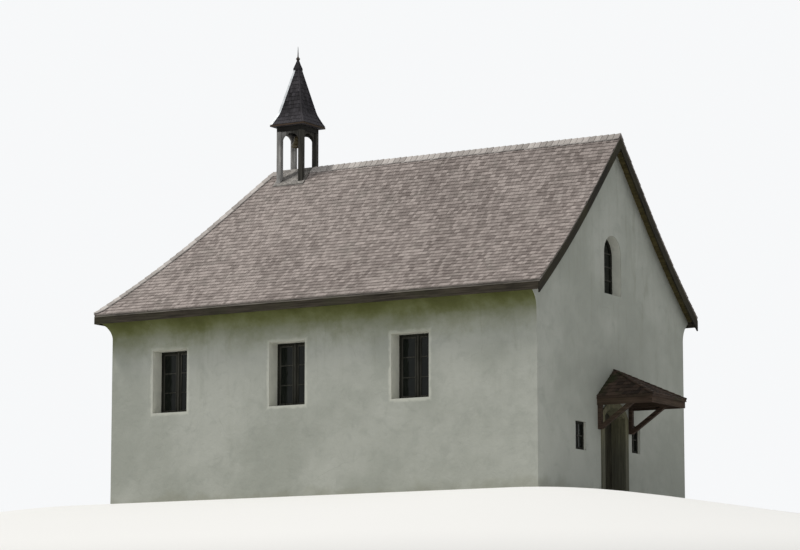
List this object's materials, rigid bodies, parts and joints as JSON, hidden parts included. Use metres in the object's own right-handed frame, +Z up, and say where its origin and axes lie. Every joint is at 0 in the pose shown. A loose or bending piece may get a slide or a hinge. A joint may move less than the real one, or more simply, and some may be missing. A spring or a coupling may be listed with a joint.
{
  "type": "small chapel",
  "caption": "Small rendered masonry chapel, roof hipped at one end and gabled at the other, with an open ridge turret, bell, canopied door and deep windows.",
  "frame": {"origin": "middle of the walls' footprint, at the ground by the door", "axes": "+X along the ridge towards the door gable, -Y the pictured long wall, +Z up"},
  "size_m": [12.44, 7.52, 10.81],
  "materials": {
    "plaster": "rough lime plaster, weathered",
    "stone": "worn stone",
    "shingle": "weathered grey wooden shingles",
    "dark_shingle": "dark wooden shingles",
    "timber": "weathered grey boards",
    "dark_timber": "sun-darkened timber",
    "sash_timber": "greyed sash timber",
    "door_timber": "dark door boards",
    "glass": "old window glass",
    "iron": "wrought, dull black",
    "bronze": "cast bell bronze, darkened",
    "flashing": "dull zinc sheet"
  },
  "bodies": {
    "building": {"back_wall_base": "plaster", "back_wall_piers": "plaster", "back_wall_top": "plaster", "bell": "bronze", "boarding_back": "timber", "boarding_front": "timber", "boarding_hip": "timber", "canopy_frame": "dark_timber", "canopy_roof": "dark_shingle", "collar_beams": "timber", "door_frame": "timber", "door_pintles": "iron", "door_sill": "stone", "eaves_boards": "timber", "eaves_cove_back": "plaster", "eaves_cove_front": "plaster", "eaves_cove_hip": "plaster", "floor_slab": "stone", "front_wall_base": "plaster", "front_wall_piers": "plaster", "front_wall_top": "plaster", "gable_wall_base": "plaster", "gable_wall_piers": "plaster", "gable_wall_top": "plaster", "hip_end_wall": "plaster", "hip_rafters": "timber", "rafters_back": "timber", "rafters_front": "timber", "rafters_hip": "timber", "roof_caps": "shingle", "shingles_back": "shingle", "shingles_front": "shingle", "shingles_hip": "shingle", "turret_apron": "flashing", "turret_arches": "dark_timber", "turret_finial": "iron", "turret_head": "dark_timber", "turret_posts": "dark_timber", "turret_spire": "dark_shingle", "verge_boards": "dark_timber", "wall_plates": "timber", "window_frames": "sash_timber", "window_glass": "glass", "window_sills": "plaster"},
    "door": {"door_leaf": "door_timber", "door_straps": "iron"}
  },
  "joints": [
    {"name": "door_hinge", "type": "hinge", "parent": "building", "child": "door", "pos_m": [5, 0.508, 0.5], "axis": [0, 0, -1], "range_deg": [0, 95]}
  ]
}
